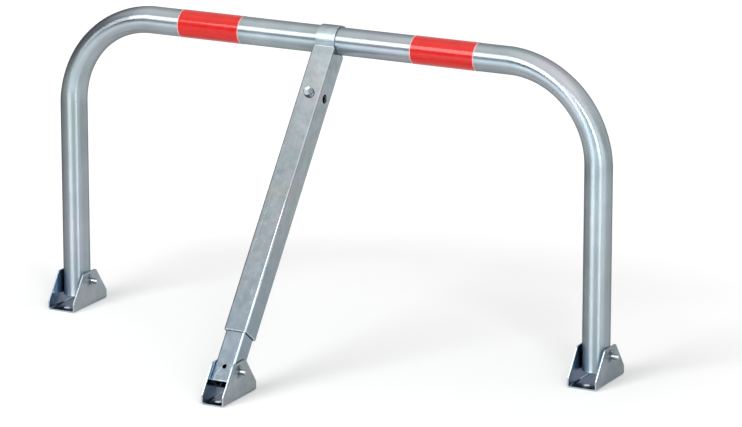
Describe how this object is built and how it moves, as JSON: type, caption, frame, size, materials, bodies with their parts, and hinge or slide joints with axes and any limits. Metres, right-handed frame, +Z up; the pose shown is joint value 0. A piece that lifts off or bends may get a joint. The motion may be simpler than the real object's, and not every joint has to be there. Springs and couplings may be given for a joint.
{
  "type": "folding parking hoop",
  "caption": "Zinc-plated round-tube hoop with red bands, hinged on two feet and propped by a telescopic strut on a third foot; folds flat to let a car in.",
  "frame": {"origin": "ground level under the hinge line, midway between the two legs", "axes": "+X along the hoop to the right foot, +Y the way the hoop folds down, +Z up"},
  "size_m": [0.9116, 0.4, 0.4693],
  "materials": {
    "zinc_steel": "satin blue-passivated zinc plating on steel",
    "fastener_zinc": "bright zinc plating on steel fasteners",
    "red_band": "smooth red retroreflective film"
  },
  "bodies": {
    "ground_feet": {"foot_left": "zinc_steel", "foot_right": "zinc_steel", "hinge_pin_left": "fastener_zinc", "split_pin_left": "fastener_zinc", "hinge_pin_right": "fastener_zinc", "split_pin_right": "fastener_zinc"},
    "hoop": {"hoop_tube": "zinc_steel", "reflective_band_left": "red_band", "reflective_band_right": "red_band"},
    "sleeve": {"strut_sleeve": "zinc_steel", "hoop_strap": "zinc_steel", "stop_bolt": "fastener_zinc", "stop_nut": "fastener_zinc"},
    "inner_strut": {"strut_inner_tube": "zinc_steel"},
    "front_foot": {"foot_front": "zinc_steel", "hinge_pin_front": "fastener_zinc", "split_pin_front": "fastener_zinc"}
  },
  "joints": [
    {"name": "hoop_fold", "type": "hinge", "parent": "ground_feet", "child": "hoop", "pos_m": [0, 0, 0.039], "axis": [-1, 0, 0], "range_deg": [0, 92]},
    {"name": "strut_swivel", "type": "hinge", "parent": "hoop", "child": "sleeve", "pos_m": [0.006, 0, 0.447], "axis": [1, 0, 0], "range_deg": [0, 37.73]},
    {"name": "strut_extension", "type": "slide", "parent": "sleeve", "child": "inner_strut", "axis": [0, -0.6, -0.8], "range_m": [0, 0.2039]},
    {"name": "front_foot_swivel", "type": "hinge", "parent": "inner_strut", "child": "front_foot", "pos_m": [0.006, -0.306, 0.039], "axis": [1, 0, 0], "range_deg": [0, 54.28]}
  ],
  "couplings": [
    {"joint": "strut_swivel", "follows": "hoop_fold", "ratio": 0.41008},
    {"joint": "strut_extension", "follows": "hoop_fold", "m_per_rad": 0.12698},
    {"joint": "front_foot_swivel", "follows": "hoop_fold", "ratio": 0.58992}
  ]
}
